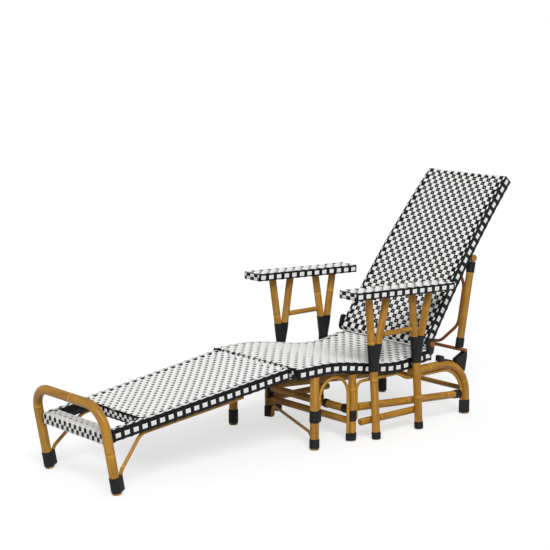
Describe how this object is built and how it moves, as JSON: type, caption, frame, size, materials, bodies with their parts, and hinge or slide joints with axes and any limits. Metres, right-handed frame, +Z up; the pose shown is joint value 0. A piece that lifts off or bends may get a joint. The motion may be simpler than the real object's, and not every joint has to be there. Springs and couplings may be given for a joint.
{
  "type": "chaise longue",
  "caption": "Cane chaise longue with a black and white woven wavy seat, woven armrests, a hinged woven footrest on a bent arch and a reclining woven back held by a swinging prop.",
  "frame": {"origin": "on the floor, under the middle of the bounding box", "axes": "+Y along the length towards the head end, +X to the sitter's left, +Z up"},
  "size_m": [0.644, 2.0338, 0.94],
  "materials": {
    "cane": "varnished cane pole, satin",
    "thin_cane": "thin varnished cane, satin",
    "red_cane": "reddish cane, satin",
    "woven_panel": "black and white strands in a checker weave",
    "woven_edge": "frame pole wrapped in black strands with white squares",
    "black_binding": "black wrapped binding, satin"
  },
  "bodies": {
    "seat_frame": {"arm_fork_front_left": "cane", "arm_fork_front_right": "cane", "arm_fork_rear_left": "cane", "arm_fork_rear_right": "cane", "arm_pad_left": "woven_panel", "arm_pad_right": "woven_panel", "arm_post_front_left": "cane", "arm_post_front_right": "cane", "arm_post_rear_left": "cane", "arm_post_rear_right": "cane", "arm_rod_left": "cane", "arm_rod_right": "cane", "cross_bow": "thin_cane", "cross_stretcher_lower": "cane", "cross_stretcher_upper": "cane", "front_leg_left": "cane", "front_leg_right": "cane", "hinge_loop_left": "black_binding", "hinge_loop_right": "black_binding", "leg_arch_left": "thin_cane", "leg_arch_right": "thin_cane", "long_brace_left": "thin_cane", "long_brace_right": "thin_cane", "long_stretcher_left": "cane", "long_stretcher_right": "cane", "lower_rail_left": "cane", "lower_rail_right": "cane", "prop_rest_left": "black_binding", "prop_rest_right": "black_binding", "rear_leg_left": "cane", "rear_leg_right": "cane", "rear_stretcher": "cane", "seat_edge_left": "woven_edge", "seat_edge_right": "woven_edge", "seat_front_bar": "woven_edge", "seat_rear_bar": "woven_edge", "seat_weave": "woven_panel", "second_leg_left": "cane", "second_leg_right": "cane"},
    "footrest": {"footrest_arch": "cane", "footrest_brace_left": "thin_cane", "footrest_brace_right": "thin_cane", "footrest_edge_left": "woven_edge", "footrest_edge_right": "woven_edge", "footrest_foot_bar": "woven_edge", "footrest_head_bar": "woven_edge", "footrest_inner_bar": "woven_edge", "footrest_lacing": "woven_edge", "footrest_weave": "woven_panel"},
    "back": {"back_bottom_bar": "woven_edge", "back_cross_rod": "red_cane", "back_edge_left": "woven_edge", "back_edge_right": "woven_edge", "back_top_bar": "woven_edge", "back_weave": "woven_panel", "hinge_rod": "red_cane"},
    "prop": {"prop_brace": "red_cane", "prop_foot_bar": "cane", "prop_post_left": "cane", "prop_post_right": "cane"}
  },
  "joints": [
    {"name": "footrest_lift", "type": "hinge", "parent": "seat_frame", "child": "footrest", "pos_m": [0, -0.17282, 0.311], "axis": [-1, 0, 0], "range_deg": [0, 80]},
    {"name": "back_recline", "type": "hinge", "parent": "seat_frame", "child": "back", "pos_m": [0, 0.52368, 0.31672], "axis": [-1, 0, 0], "range_deg": [0, 20]},
    {"name": "prop_swing", "type": "hinge", "parent": "back", "child": "prop", "pos_m": [0, 0.79146, 0.62449], "axis": [-1, 0, 0], "range_deg": [0, 16]}
  ],
  "couplings": [
    {"joint": "prop_swing", "follows": "back_recline", "ratio": 0.7696}
  ]
}
